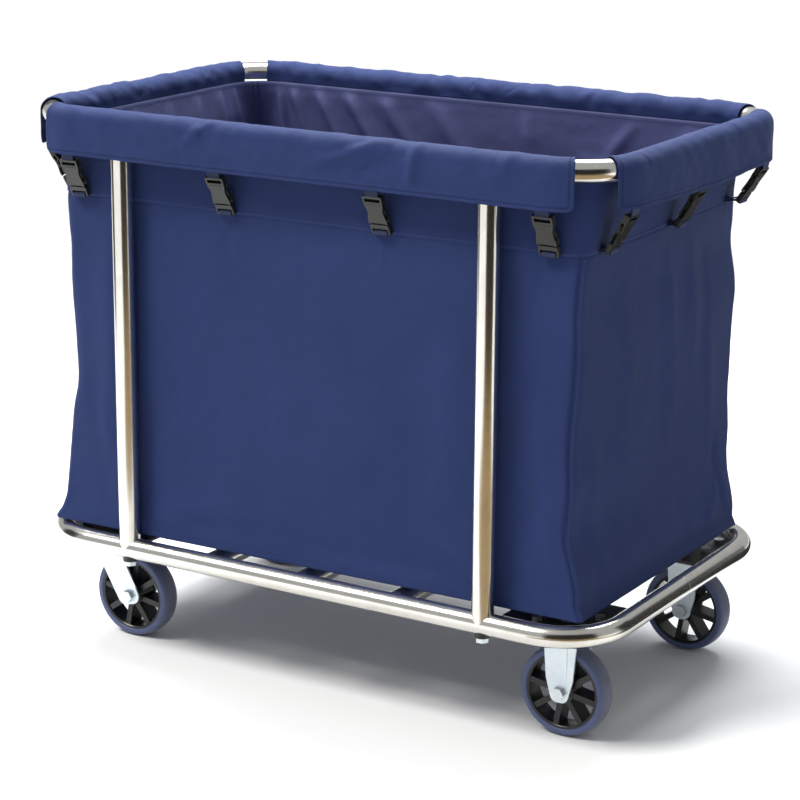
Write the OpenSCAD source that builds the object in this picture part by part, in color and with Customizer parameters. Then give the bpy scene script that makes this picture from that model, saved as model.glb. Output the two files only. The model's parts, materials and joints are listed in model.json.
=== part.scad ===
// Linen trolley: a tubular stainless frame on four casters that carries a
// hanging fabric bag. Millimetres, +Z up, +X along the length, origin on the
// floor below the middle of the frame.

/* [Frame] */
// Outside length of the tube frame
frame_length = 920; // [760:10:1100]
// Outside width of the tube frame
frame_width = 565; // [480:5:700]
// Height of the lower ring's centre line
lower_z = 163; // [158:1:175]
// Height of the upper ring's centre line
upper_z = 769; // [640:1:900]
// Outside diameter of every frame tube
tube_d = 30; // [28:1:34]
// Wall of every frame tube
tube_wall = 1.5; // [1.2:0.1:2]
// Bend radius of the lower ring's corners, on the centre line
lower_bend_r = 85; // [75:1:95]
// Bend radius of the upper ring's corners, on the centre line
upper_bend_r = 80; // [75:1:95]
// Distance of each upright from the middle of the long side
upright_x = 287; // [240:1:300]
// Spacing of the cross tubes that carry the bag
cross_pitch = 150; // [120:1:180]

/* [Casters] */
// Diameter of the wheels
wheel_d = 127; // [120:1:128]
// Width of the tyre
tyre_w = 32; // [28:1:34]
// Number of spokes in a wheel
spoke_count = 8; // [6:1:10]
// Distance of the caster centres from the middle, along the length
caster_x = 372; // [340:1:380]
// Distance of the caster centres from the middle, across the width
caster_y = 188; // [170:1:192]
// Distance of a swivel caster's axle behind its king pin
trail = 36; // [30:1:40]
// Thickness of the steel caster forks
fork_t = 2.5; // [2:0.1:3]

/* [Bag] */
// Thickness of the bag fabric, with its lining and seams
fabric_t = 3; // [2:0.5:4]
// Half length of the bag below the rim
bag_half_length = 416; // [380:1:420]
// Half width of the bag below the rim
bag_half_width = 250; // [230:1:252]
// Height of the flaps' lower hems
flap_hem_z = 721; // [700:1:735]
// Distance of the outer long-side buckles from the middle
buckle_x = 368; // [340:1:380]
// Distance of the end buckles from the middle
buckle_y = 200; // [180:1:205]
// Width of the webbing
webbing_w = 20; // [18:1:25]

/* [Hidden] */
$fn = 96;
tube_r = tube_d / 2;
bore_d = tube_d - 2 * tube_wall;
half_x = (frame_length - tube_d) / 2;
half_y = (frame_width - tube_d) / 2;
eps = 1;

// Fastener sizes: M10 through the uprights and axles, M8 in the caster plates
m10_d = 10;
m10_hole = 10.5;
m10_hex = 16 / cos(30);
m10_head = 6.4;
m10_nut = 8;
m8_d = 8;
m8_hole = 8.5;
m8_hex = 13 / cos(30);
m8_head = 5.3;
m8_nut = 6.5;

// Joint sleeves, upright plugs and their screws
sleeve_len = 80;
sleeve_wall = 2;
plug_len = 30;
plug_gap = 6;
cap_head_d = 16;
cap_head_h = 10;
access_hole = 18;
washer_d = 20;
washer_t = 4;

// Caster heights: the corner plate lies inside the ring, the caster under it
corner_plate_z = 156;
corner_plate_t = 4;
corner_plate_x = 290;
corner_plate_y = 107;
caster_plate = [92, 68, 3];
plate_bolt = [35, 23];
plate_z = corner_plate_z - caster_plate[2];
pin_d = 12;
pin_head_d = 20;
pin_head_t = 2.5;
pin_foot_t = 3;
crown_z = 133.3;
crown_t = 3;
race_r = 19;
ball_z = 143;
ball_d = 7;
ball_count = 15;
race_clear = 0.1;
axle_z = wheel_d / 2;
leg_in = 20;
leg_w = 40;
leg_foot_r = 12;
rib_t = 0.8;

// Wheel: tyre, spoked hub and the bush that it turns on
tyre_bore_r = 52.5;
tyre_side_r = 56.5;
rim_r = 48.5;
boss_r = 17;
boss_len = 39;
spoke_w = 8;
spoke_depth = 27;
spoke_phase = -10;
bush_d = 15;
bush_bore = 10.1;
hub_bore = 15.1;

// Bag, flaps and buckles
bag_floor_z = 178.5;
bag_corner_r = 20;
bag_neck_z = 640;
rim_gap = 0.5;
flap_in_r = tube_r + rim_gap;
flap_out_r = flap_in_r + fabric_t;
flap_angle_long = 26;
flap_angle_end = 29;
arc_steps = 8;
buckle_z = 687;
buckle_len = 58;
buckle_w = 29;
buckle_t = 9;
tilt_long = 24;
tilt_end = 32;
webbing_t = 1.4;
webbing_reach_long = 36;
webbing_reach_end = 33;

CORNERS = [[-1, -1], [1, -1], [-1, 1], [1, 1]];

// ---------------------------------------------------------------- helpers

// Cylinder along X or Y, centred on the origin
module rod_x(d, len) { rotate([0, 90, 0]) cylinder(d = d, h = len, center = true); }
module rod_y(d, len) { rotate([90, 0, 0]) cylinder(d = d, h = len, center = true); }

// Quarter bend about +Z, from angle a
module bend(r, d, a) {
    rotate([0, 0, a]) rotate_extrude(angle = 90) translate([r, 0]) circle(d = d);
}

// Front half of a ring, as a solid bar of diameter d; extra lengthens its ends
module half_ring_bar(r, d, extra = 0) {
    straight = half_y - r + extra;
    for (s = [-1, 1]) {
        translate([s * half_x, -straight / 2 + extra, 0]) rod_y(d, straight);
        translate([s * (half_x - r), r - half_y, 0]) bend(r, d, s < 0 ? 180 : 270);
    }
    translate([0, -half_y, 0]) rod_x(d, 2 * (half_x - r));
}

module half_ring_tube(r) {
    difference() {
        half_ring_bar(r, tube_d);
        half_ring_bar(r, bore_d, eps);
    }
}

// Rectangle with rounded corners, centred, given by half sizes
module rounded_plate(hx, hy, r, t) {
    linear_extrude(t) union() {
        square([2 * hx, 2 * (hy - r)], center = true);
        square([2 * (hx - r), 2 * hy], center = true);
        for (c = CORNERS) translate([c[0] * (hx - r), c[1] * (hy - r)]) circle(r = r);
    }
}

// ------------------------------------------------------------ tube frame

module lower_rail() {
    color("#dfdccb") difference() {
        translate([0, 0, lower_z]) half_ring_tube(lower_bend_r);
        for (s = [-1, 1]) translate([s * upright_x, -half_y, lower_z - tube_d])
            cylinder(d = m10_hole, h = 2 * tube_d);
    }
}

module upper_rail() {
    color("#dfdccb") difference() {
        translate([0, 0, upper_z]) half_ring_tube(upper_bend_r);
        for (s = [-1, 1]) translate([s * upright_x, -half_y, 0]) {
            translate([0, 0, upper_z - tube_d]) cylinder(d = m10_hole, h = tube_d);
            translate([0, 0, upper_z]) cylinder(d = access_hole, h = tube_d);
        }
    }
}

module rail_joint_sleeves() {
    color("silver") for (s = [-1, 1], z = [lower_z, upper_z])
        translate([s * half_x, 0, z]) difference() {
            rod_y(bore_d, sleeve_len);
            rod_y(bore_d - 2 * sleeve_wall, sleeve_len + 2 * eps);
        }
}

// Upright with both ends coped to sit on the rails
module upright(sx, sy) {
    color("#dfdccb") translate([sx * upright_x, sy * half_y, 0]) difference() {
        translate([0, 0, lower_z]) cylinder(d = tube_d, h = upper_z - lower_z);
        translate([0, 0, lower_z - eps])
            cylinder(d = bore_d, h = upper_z - lower_z + 2 * eps);
        for (z = [lower_z, upper_z]) translate([0, 0, z]) rod_x(tube_d, 2 * tube_d);
    }
}

function plug_bases() = [
    lower_z + tube_r + plug_gap,
    upper_z - tube_r - plug_gap - plug_len
];

module upright_plugs() {
    color("silver") for (c = CORNERS, z = plug_bases())
        translate([c[0] * upright_x, c[1] * half_y, z]) difference() {
            cylinder(d = bore_d, h = plug_len);
            translate([0, 0, -eps]) cylinder(d = m10_d + 0.1, h = plug_len + 2 * eps);
        }
}

// Hex bolts that come up through the lower rail into the uprights' plugs
module upright_bolts() {
    head_top = lower_z - tube_r - washer_t;
    shank = plug_bases()[0] + plug_len - head_top - 4;
    color("silver") for (c = CORNERS) translate([c[0] * upright_x, c[1] * half_y, head_top]) {
        translate([0, 0, -m10_head]) cylinder(d = m10_hex, h = m10_head, $fn = 6);
        cylinder(d = m10_d, h = shank);
    }
}

// Saddle washers between the bolt heads and the round rail
module upright_washers() {
    color("dimgray") for (c = CORNERS)
        translate([c[0] * upright_x, c[1] * half_y, lower_z]) difference() {
            translate([0, 0, -tube_r - washer_t]) cylinder(d = washer_d, h = washer_t + 4);
            rod_x(tube_d, 2 * washer_d);
            translate([0, 0, -tube_d]) cylinder(d = m10_hole, h = tube_d);
        }
}

// Socket cap screws inside the upper rail, put in through its access holes
module upright_cap_screws() {
    seat = upper_z - sqrt(pow(bore_d / 2, 2) - pow(cap_head_d / 2, 2));
    shank = seat - plug_bases()[1] - 4;
    color("dimgray") for (c = CORNERS)
        translate([c[0] * upright_x, c[1] * half_y, seat]) difference() {
            union() {
                cylinder(d = cap_head_d, h = cap_head_h);
                translate([0, 0, -shank]) cylinder(d = m10_d, h = shank + eps);
            }
            translate([0, 0, cap_head_h / 2])
                cylinder(d = 8 / cos(30), h = cap_head_h, $fn = 6);
        }
}

module cross_tube(x) {
    color("#cfc9b4") translate([x, 0, lower_z]) difference() {
        rod_y(tube_d, 2 * half_y);
        rod_y(bore_d, 2 * half_y + 2 * eps);
        for (s = [-1, 1]) translate([0, s * half_y, 0]) rod_x(tube_d, 3 * tube_d);
    }
}

// ------------------------------------------------- corner and caster plates

module plate_holes(z, h) {
    for (c = CORNERS) translate([c[0] * plate_bolt[0], c[1] * plate_bolt[1], z])
        cylinder(d = m8_hole, h = h);
}

// Plate welded inside a corner of the lower ring and cut to the tube; it is
// drawn in the +X +Y quadrant and mirrored to its own corner
module corner_plate(sx, sy) {
    r = lower_bend_r;
    color("#26272d") mirror([sx < 0 ? 1 : 0, 0, 0]) mirror([0, sy < 0 ? 1 : 0, 0])
        difference() {
            translate([0, 0, corner_plate_z]) linear_extrude(corner_plate_t) union() {
                translate([corner_plate_x, corner_plate_y])
                    square([half_x - corner_plate_x, half_y - r - corner_plate_y]);
                translate([corner_plate_x, corner_plate_y])
                    square([half_x - r - corner_plate_x, half_y - corner_plate_y]);
                intersection() {
                    translate([half_x - r, half_y - r]) circle(r = r);
                    translate([half_x - r - eps, half_y - r - eps]) square(r + eps);
                }
            }
            translate([0, 0, lower_z]) {
                translate([corner_plate_x, half_y, 0]) rod_x(tube_d, 4 * r);
                translate([half_x, corner_plate_y, 0]) rod_y(tube_d, 4 * r);
                translate([half_x - r, half_y - r, 0]) bend(r, tube_d, 0);
            }
            translate([caster_x, caster_y, 0]) {
                plate_holes(corner_plate_z - eps, corner_plate_t + 2 * eps);
                translate([0, 0, corner_plate_z - eps])
                    cylinder(d = pin_head_d + 4, h = corner_plate_t + 2 * eps);
            }
        }
}

module at_plate_bolts(z) {
    for (c = CORNERS, b = CORNERS)
        translate([c[0] * caster_x + b[0] * plate_bolt[0],
                   c[1] * caster_y + b[1] * plate_bolt[1], z]) children();
}

module caster_bolts() {
    shank = corner_plate_t + caster_plate[2] + m8_nut + 2;
    color("silver") at_plate_bolts(corner_plate_z + corner_plate_t) {
        cylinder(d = m8_hex, h = m8_head, $fn = 6);
        translate([0, 0, -shank]) cylinder(d = m8_d, h = shank + eps);
    }
}

module caster_nuts() {
    color("silver") at_plate_bolts(plate_z - m8_nut) difference() {
        cylinder(d = m8_hex, h = m8_nut, $fn = 6);
        translate([0, 0, -eps]) cylinder(d = m8_d, h = m8_nut + 2 * eps);
    }
}

module caster_top_plate() {
    translate([0, 0, plate_z])
        rounded_plate(caster_plate[0] / 2, caster_plate[1] / 2, 8, caster_plate[2]);
}

// Round groove that the balls run in
module ball_groove() {
    translate([0, 0, ball_z]) rotate_extrude() translate([race_r, 0])
        circle(d = ball_d + 2 * race_clear);
}

// ---------------------------------------------------------- swivel casters

// Every swivel caster piece is drawn about its own king pin
module at_swivel(sy) { translate([-caster_x, sy * caster_y, 0]) children(); }

module swivel_plate(sy) {
    race_top = plate_z + eps / 2;
    color("#dce6ee") at_swivel(sy) difference() {
        union() {
            caster_top_plate();
            translate([0, 0, 145]) cylinder(r = 27, h = race_top - 145);
        }
        ball_groove();
        plate_holes(plate_z - eps, caster_plate[2] + 2 * eps);
        translate([0, 0, crown_z]) cylinder(d = pin_d, h = 40);
        translate([0, 0, 144]) cylinder(r = 13, h = 5);
    }
}

module swivel_balls(sy) {
    color("silver") at_swivel(sy) for (i = [0 : ball_count - 1])
        rotate([0, 0, i * 360 / ball_count]) translate([race_r, 0, ball_z])
            sphere(d = ball_d, $fn = 24);
}

module king_pin(sy) {
    color("silver") at_swivel(sy) {
        translate([0, 0, crown_z - 0.3 - pin_foot_t]) cylinder(d = pin_head_d, h = pin_foot_t);
        translate([0, 0, crown_z - 0.3 - eps])
            cylinder(d = pin_d, h = corner_plate_z - crown_z + 0.3 + 2 * eps);
        translate([0, 0, corner_plate_z]) cylinder(d = pin_head_d, h = pin_head_t);
    }
}

// Fork leg in the XZ plane: a band that runs from the crown to the axle
module leg_outline(top_x, top_w, top_z, foot_x) {
    hull() {
        translate([top_x - top_w / 2, top_z - 10]) square([top_w, 10]);
        translate([foot_x - 7, axle_z - 2]) circle(r = leg_foot_r, $fn = 32);
        translate([foot_x + 6, axle_z + 1]) circle(r = leg_foot_r, $fn = 32);
    }
}

// Plate of thickness t that stands at y, drawn from an outline in X and Z
module standing(y, t) { translate([0, y + t, 0]) rotate([90, 0, 0]) linear_extrude(t) children(); }

module swivel_fork(sy) {
    crown_top = crown_z + crown_t;
    color("#dce6ee") at_swivel(sy) difference() {
        union() {
            translate([0, 0, crown_z]) cylinder(r = 30, h = crown_t);
            translate([0, 0, crown_top - eps]) cylinder(r = 29.6, h = 141 - crown_top + eps);
            translate([0, 0, 140]) difference() {
                cylinder(r = 29.6, h = 6);
                translate([0, 0, -eps]) cylinder(r = 27.6, h = 8);
            }
            for (s = [-1, 1]) {
                standing(s * (leg_in + fork_t / 2) - fork_t / 2, fork_t)
                    leg_outline(0, 44, crown_top - eps, trail);
                standing(s * (leg_in + fork_t + rib_t / 2) - rib_t / 2, rib_t) polygon([
                    [2, crown_z], [20, crown_z], [trail + 14, axle_z + 16],
                    [trail + 2, axle_z + 14]
                ]);
            }
        }
        ball_groove();
        translate([0, 0, crown_z - eps]) cylinder(d = pin_d + 0.1, h = 20);
        translate([0, 0, crown_top + eps]) cylinder(r = 13, h = 20);
        translate([trail, 0, axle_z]) rod_y(m10_hole, 60);
    }
}

// ----------------------------------------------------------- fixed casters

module at_fixed(sy) { translate([caster_x, sy * caster_y, 0]) children(); }

module fixed_fork(sy) {
    color("#dce6ee") at_fixed(sy) difference() {
        union() {
            caster_top_plate();
            for (s = [-1, 1]) {
                standing(s * (leg_in + fork_t / 2) - fork_t / 2, fork_t) hull() {
                    translate([-25, plate_z - 6]) square([50, 6 + eps]);
                    translate([-20, axle_z + 20]) square([40, 40]);
                    for (x = [-3, 3]) translate([x, axle_z - 2.5]) circle(r = 10.5, $fn = 32);
                }
                standing(s * (leg_in + fork_t + rib_t / 2) - rib_t / 2, rib_t) union() {
                    translate([-11, axle_z + 28]) square([22, plate_z - axle_z - 34]);
                    translate([0, axle_z + 28]) circle(r = 11);
                }
            }
        }
        plate_holes(plate_z - eps, caster_plate[2] + 2 * eps);
        translate([0, 0, axle_z]) rod_y(m10_hole, 60);
    }
}

// ---------------------------------------------------------- axles and wheels

// Middle of each axle
function axle_pos(sx, sy) = [sx < 0 ? trail - caster_x : caster_x, sy * caster_y, axle_z];

module axle_bolt(sx, sy) {
    side = leg_in + fork_t;
    shank = 2 * side + m10_nut + 2;
    color("silver") translate(axle_pos(sx, sy)) translate([0, -side, 0]) rotate([-90, 0, 0]) {
        translate([0, 0, -m10_head]) cylinder(d = m10_hex, h = m10_head, $fn = 6);
        translate([0, 0, -eps]) cylinder(d = m10_d, h = shank + eps);
    }
}

module axle_nut(sx, sy) {
    color("silver") translate(axle_pos(sx, sy)) translate([0, leg_in + fork_t, 0])
        rotate([-90, 0, 0]) difference() {
            cylinder(d = m10_hex, h = m10_nut, $fn = 6);
            translate([0, 0, -eps]) cylinder(d = m10_d, h = m10_nut + 2 * eps);
        }
}

// Steel bush that the bolt clamps between the legs; the hub turns on it
module axle_bush(sx, sy) {
    color("silver") translate(axle_pos(sx, sy)) difference() {
        rod_y(bush_d, 2 * leg_in);
        rod_y(bush_bore, 2 * leg_in + 2 * eps);
    }
}

// Solid turned about Y from an outline in radius and width
module turned() { rotate([90, 0, 0]) rotate_extrude() children(); }

module wheel_hub(sx, sy) {
    rim_half = tyre_w / 2 - 1;
    web_half = spoke_depth / 2;
    color("#17181b") translate(axle_pos(sx, sy)) difference() {
        union() {
            turned() polygon([
                [rim_r + 1, -rim_half], [tyre_bore_r, -rim_half],
                [tyre_bore_r, rim_half], [rim_r + 1, rim_half],
                [rim_r, rim_half - 1], [rim_r, 1 - rim_half]
            ]);
            turned() polygon([
                [4, -boss_len / 2], [boss_r - 5, -boss_len / 2],
                [boss_r - 4, 1 - boss_len / 2], [boss_r - 3, -web_half - 2],
                [boss_r, -web_half - 1], [boss_r, web_half + 1], [boss_r - 3, web_half + 2],
                [boss_r - 4, boss_len / 2 - 1], [boss_r - 5, boss_len / 2],
                [4, boss_len / 2]
            ]);
            for (i = [0 : spoke_count - 1])
                rotate([0, -spoke_phase - i * 360 / spoke_count, 0])
                    translate([boss_r - 2, -web_half, -spoke_w / 2])
                        cube([rim_r - boss_r + 3, spoke_depth, spoke_w]);
        }
        rod_y(hub_bore, boss_len + 2 * eps);
    }
}

// Crown of the tread: half a superellipse from one shoulder to the other
function tread_point(t) = [
    tyre_side_r + (wheel_d / 2 - tyre_side_r) * pow(cos(t), 0.7),
    tyre_w / 2 * sin(t)
];

module tyre(sx, sy) {
    color("#4d5a86") translate(axle_pos(sx, sy)) turned() polygon(concat(
        [[tyre_bore_r, tyre_w / 2 - 1], [tyre_bore_r, 1 - tyre_w / 2],
         [tyre_bore_r + 1, -tyre_w / 2]],
        [for (t = [-90 : 12 : 90]) tread_point(t)],
        [[tyre_bore_r + 1, tyre_w / 2]]
    ));
}

// -------------------------------------------------------------------- bag

// Closed solid through a list of rings that all have the same number of points
module loft(rings) {
    n = len(rings[0]);
    last = (len(rings) - 1) * n;
    polyhedron(
        points = [for (ring = rings, p = ring) p],
        faces = concat(
            [[for (i = [n - 1 : -1 : 0]) i]],
            [for (j = [0 : n : last - n], i = [0 : n - 1])
                each let (k = (i + 1) % n) [
                    [j + i, j + k, j + n + i], [j + k, j + n + k, j + n + i]
                ]],
            [[for (i = [0 : n - 1]) last + i]]
        )
    );
}

// Ring of points round a rounded rectangle at height z
function bag_ring(z, hx, hy, r) = [
    for (q = [0 : 3], t = [0 : arc_steps])
        let (sx = q == 0 || q == 3 ? 1 : -1, sy = q < 2 ? 1 : -1, a = 90 * (q + t / arc_steps))
            [sx * (hx - r) + r * cos(a), sy * (hy - r) + r * sin(a), z]
];

// The bag's three rings, moved in by inset: floor, neck and upper ring
function bag_rings(inset) =
    let (rim = tube_r + rim_gap + inset, hx = bag_half_length - inset,
         hy = bag_half_width - inset, r = bag_corner_r - inset) [
        bag_ring(bag_floor_z + inset, hx, hy, r),
        bag_ring(bag_neck_z, hx, hy, r),
        bag_ring(upper_z, half_x - rim, half_y - rim, upper_bend_r - rim)
    ];

module bag_body() {
    outer = bag_rings(0);
    inner = bag_rings(fabric_t);
    color("#2f3a5e") loft([
        outer[0], outer[1], outer[2], inner[2], inner[1], inner[0]
    ]);
}

// Flap section over the rail as [distance out of the rail's middle, height]
flap_section = concat(
    [for (a = [180 : -15 : 0]) flap_out_r * [cos(a), sin(a)]],
    [[flap_out_r, flap_hem_z - upper_z], [flap_in_r, flap_hem_z - upper_z]],
    [for (a = [0 : 15 : 180]) flap_in_r * [cos(a), sin(a)]]
);

// Flap along one side: off is the rail's distance from the middle, half is the
// straight's half length, and the ends follow the corner bends for some angle
module flap(off, half, angle) {
    turns = [for (t = [0 : arc_steps]) angle * t / arc_steps];
    stations = concat([for (t = turns) [-half, t - angle]], [for (t = turns) [half, t]]);
    color("#2f3a5e") loft([
        for (st = stations) [
            for (p = flap_section)
                let (r = upper_bend_r + p[0])
                    [st[0] + r * sin(st[1]), upper_bend_r - off - r * cos(st[1]), upper_z + p[1]]
        ]
    ]);
}

module long_flap() { flap(half_y, half_x - upper_bend_r, flap_angle_long); }
module end_flap() { rotate([0, 0, 90]) flap(half_x, half_y - upper_bend_r, flap_angle_end); }

// ---------------------------------------------------------------- buckles

// Places of the buckles round the bag: turn about Z, offset along the side,
// half distances of the flap and the bag wall, and the tilt
LONG_OFFSETS = [-buckle_x, -buckle_x / 3, buckle_x / 3, buckle_x];
END_OFFSETS = [-buckle_y, 0, buckle_y];

module at_buckles() {
    for (a = [0, 180], x = LONG_OFFSETS) rotate([0, 0, a])
        translate([x, -(half_y + flap_in_r + bag_half_width) / 2, buckle_z])
            rotate([tilt_long, 0, 0]) let ($reach = webbing_reach_long) children();
    for (a = [90, 270], x = END_OFFSETS) rotate([0, 0, a])
        translate([x, -(half_x + flap_in_r + bag_half_length) / 2, buckle_z])
            rotate([tilt_end, 0, 0]) let ($reach = webbing_reach_end) children();
}

module buckle_sockets() {
    color("#33362f") at_buckles() difference() {
        translate([-buckle_w / 2, -buckle_t / 2, 1]) cube([buckle_w, buckle_t, buckle_len / 2]);
        translate([-buckle_w / 2 + 3, -2, 0]) cube([buckle_w - 6, 4, 19]);
        translate([-buckle_w / 2 + 4, -buckle_t, buckle_len / 2 - 6])
            cube([buckle_w - 8, 2 * buckle_t, 4]);
    }
}

module buckle_plugs() {
    color("#33362f") at_buckles() difference() {
        union() {
            translate([-buckle_w / 2 + 3.2, -1.8, 0]) cube([buckle_w - 6.4, 3.6, 18]);
            translate([-buckle_w / 2, -buckle_t / 2 + 1, -buckle_len / 2 + 4])
                cube([buckle_w, buckle_t - 2, buckle_len / 2 - 4]);
        }
        translate([-buckle_w / 2 + 4, -buckle_t, 7 - buckle_len / 2])
            cube([buckle_w - 8, 2 * buckle_t, 3]);
        translate([-4, -buckle_t, 4]) cube([8, 2 * buckle_t, 15]);
    }
}

// Webbing from the flap to the socket and from the plug to the bag wall; $reach
// is its half length along the slope
module webbing_straps() {
    socket_top = buckle_len / 2 + 1;
    plug_foot = buckle_len / 2 - 4;
    color("#22242a") at_buckles() {
        translate([-webbing_w / 2, -webbing_t / 2, socket_top])
            cube([webbing_w, webbing_t, $reach - socket_top]);
        translate([-webbing_w / 2, -webbing_t / 2, -$reach])
            cube([webbing_w, webbing_t, $reach - plug_foot]);
    }
}

// ---------------------------------------------------------------- assembly

lower_rail();  // lower_rail_front
mirror([0, 1, 0]) lower_rail();  // lower_rail_back
upper_rail();  // upper_rail_front
mirror([0, 1, 0]) upper_rail();  // upper_rail_back
rail_joint_sleeves();
upright(-1, -1);  // upright_front_left
upright(1, -1);  // upright_front_right
upright(-1, 1);  // upright_back_left
upright(1, 1);  // upright_back_right
upright_plugs();
upright_bolts();
upright_washers();
upright_cap_screws();
cross_tube(-cross_pitch);  // cross_tube_left
cross_tube(0);  // cross_tube_middle
cross_tube(cross_pitch);  // cross_tube_right
corner_plate(-1, -1);  // corner_plate_front_left
corner_plate(1, -1);  // corner_plate_front_right
corner_plate(-1, 1);  // corner_plate_back_left
corner_plate(1, 1);  // corner_plate_back_right
caster_bolts();
caster_nuts();
swivel_plate(-1);  // swivel_plate_front
swivel_plate(1);  // swivel_plate_back
swivel_balls(-1);  // swivel_balls_front
swivel_balls(1);  // swivel_balls_back
king_pin(-1);  // king_pin_front
king_pin(1);  // king_pin_back
swivel_fork(-1);  // swivel_fork_front
swivel_fork(1);  // swivel_fork_back
axle_bolt(-1, -1);  // swivel_axle_bolt_front
axle_bolt(-1, 1);  // swivel_axle_bolt_back
axle_nut(-1, -1);  // swivel_axle_nut_front
axle_nut(-1, 1);  // swivel_axle_nut_back
fixed_fork(-1);  // fixed_fork_front
fixed_fork(1);  // fixed_fork_back
for (sy = [-1, 1]) axle_bolt(1, sy);  // fixed_axle_bolts
for (sy = [-1, 1]) axle_nut(1, sy);  // fixed_axle_nuts
axle_bush(-1, -1);  // axle_bush_front_left
axle_bush(1, -1);  // axle_bush_front_right
axle_bush(-1, 1);  // axle_bush_back_left
axle_bush(1, 1);  // axle_bush_back_right
wheel_hub(-1, -1);  // wheel_hub_front_left
wheel_hub(1, -1);  // wheel_hub_front_right
wheel_hub(-1, 1);  // wheel_hub_back_left
wheel_hub(1, 1);  // wheel_hub_back_right
tyre(-1, -1);  // tyre_front_left
tyre(1, -1);  // tyre_front_right
tyre(-1, 1);  // tyre_back_left
tyre(1, 1);  // tyre_back_right
bag_body();
long_flap();  // flap_front
mirror([0, 1, 0]) long_flap();  // flap_back
mirror([1, 0, 0]) end_flap();  // flap_left
end_flap();  // flap_right
buckle_sockets();
buckle_plugs();
webbing_straps();
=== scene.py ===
import bmesh
import bpy
import json
import math
import random
import numpy as np
from mathutils import Matrix, Vector, noise


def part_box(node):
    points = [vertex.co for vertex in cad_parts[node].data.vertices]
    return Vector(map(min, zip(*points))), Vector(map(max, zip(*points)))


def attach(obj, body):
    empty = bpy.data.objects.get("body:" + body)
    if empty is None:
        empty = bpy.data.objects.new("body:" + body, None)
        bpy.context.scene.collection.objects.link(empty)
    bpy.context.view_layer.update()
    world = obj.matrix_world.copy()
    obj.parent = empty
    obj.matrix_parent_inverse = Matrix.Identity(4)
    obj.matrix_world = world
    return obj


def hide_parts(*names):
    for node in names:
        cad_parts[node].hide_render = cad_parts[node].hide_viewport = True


# Linen trolley, visual model. Metres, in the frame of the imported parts.
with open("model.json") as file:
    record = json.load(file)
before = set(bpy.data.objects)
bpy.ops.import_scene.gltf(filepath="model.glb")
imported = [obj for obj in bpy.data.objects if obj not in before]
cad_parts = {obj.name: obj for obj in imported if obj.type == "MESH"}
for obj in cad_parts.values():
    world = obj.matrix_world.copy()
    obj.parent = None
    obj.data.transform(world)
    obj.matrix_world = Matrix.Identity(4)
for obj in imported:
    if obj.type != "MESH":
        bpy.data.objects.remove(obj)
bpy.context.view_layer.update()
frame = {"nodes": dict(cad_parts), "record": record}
NODES = frame["nodes"]
MM = 0.001

# ---- sizes from the frame
rail_lo, rail_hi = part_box("upper_rail_front")
low_lo, low_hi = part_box("lower_rail_front")

TUBE_R = (rail_hi.z - rail_lo.z) / 2
RIM_Z = (rail_hi.z + rail_lo.z) / 2
BASE_Z = (low_hi.z + low_lo.z) / 2
HALF_X = rail_hi.x - TUBE_R
HALF_Y = -rail_lo.y - TUBE_R
BEND = 80 * MM
BAG_X = 416 * MM
BAG_Y = 250 * MM
HEM_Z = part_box("flap_front")[0].z
BUCKLE_Z = 687 * MM

# turn about Z, distance of the rail from the middle, half length of its straight
SIDES = {
    "front": (0, HALF_Y, HALF_X - BEND),
    "right": (90, HALF_X, HALF_Y - BEND),
    "back": (180, HALF_Y, HALF_X - BEND),
    "left": (270, HALF_X, HALF_Y - BEND),
}
ORDER = list(SIDES)
LONG_SIDES = ("front", "back")


# ---- small helpers
def smooth(v, lo, hi):
    """0 below lo, 1 above hi, and a smooth step between them."""
    t = np.clip((np.asarray(v, float) - lo) / (hi - lo), 0.0, 1.0)
    return t * t * (3 - 2 * t)


def knots(v, table):
    """Smooth interpolation through (position, value) pairs."""
    v = np.asarray(v, float)
    out = np.full(v.shape, float(table[0][1]))
    for (a, fa), (b, fb) in zip(table, table[1:]):
        out += (fb - fa) * smooth(v, a, b)
    return out


def turned(x, y, z, degrees):
    """Places turned about Z."""
    c, s = math.cos(math.radians(degrees)), math.sin(math.radians(degrees))
    return np.stack(np.broadcast_arrays(x * c - y * s, x * s + y * c, z), -1)


def bell(v, width):
    """1 at 0, falling to nothing past width."""
    return np.exp(-((v / width) ** 2))


noise_at = np.frompyfunc(lambda x, y, z: noise.noise((x, y, z)), 3, 1)


def wander(u, v, seed, scale):
    """Seeded noise from -1 to 1 over a cloth, with features about scale metres across."""
    return noise_at(u / scale, v / scale, 7.3 * seed).astype(float)


def fold(u, v, crease):
    """Height of one crease: a ridge from (u0, v0) to (u1, v1) that fades at its ends."""
    u0, v0, u1, v1, width, height = crease
    du, dv = u1 - u0, v1 - v0
    length = math.hypot(du, dv)
    along = ((u - u0) * du + (v - v0) * dv) / length
    off = ((u - u0) * dv - (v - v0) * du) / length
    ends = smooth(along, -0.15 * length, 0.2 * length) * smooth(length - along, -0.15 * length, 0.3 * length)
    return height * ends * bell(off, width)


def pairs(a, b):
    """Rows of (a, b)."""
    return np.stack([np.ravel(a), np.ravel(b)], -1)


def add_mesh(name, verts, faces, material, slot, cloth=None):
    """New object on the frame, smooth shaded. cloth is the flat place of each vertex."""
    mesh = bpy.data.meshes.new(name)
    mesh.from_pydata([tuple(v) for v in verts], [], faces)
    mesh.validate()
    mesh.polygons.foreach_set("use_smooth", [True] * len(mesh.polygons))
    if cloth is not None:
        flat = mesh.attributes.new("cloth", "FLOAT_VECTOR", "POINT")
        flat.data.foreach_set("vector", [c for place in cloth for c in (*place, 0.0)])
    obj = bpy.data.objects.new(name, mesh)
    bpy.context.scene.collection.objects.link(obj)
    mesh.materials.append(material)
    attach(obj, "frame")
    return obj


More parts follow.
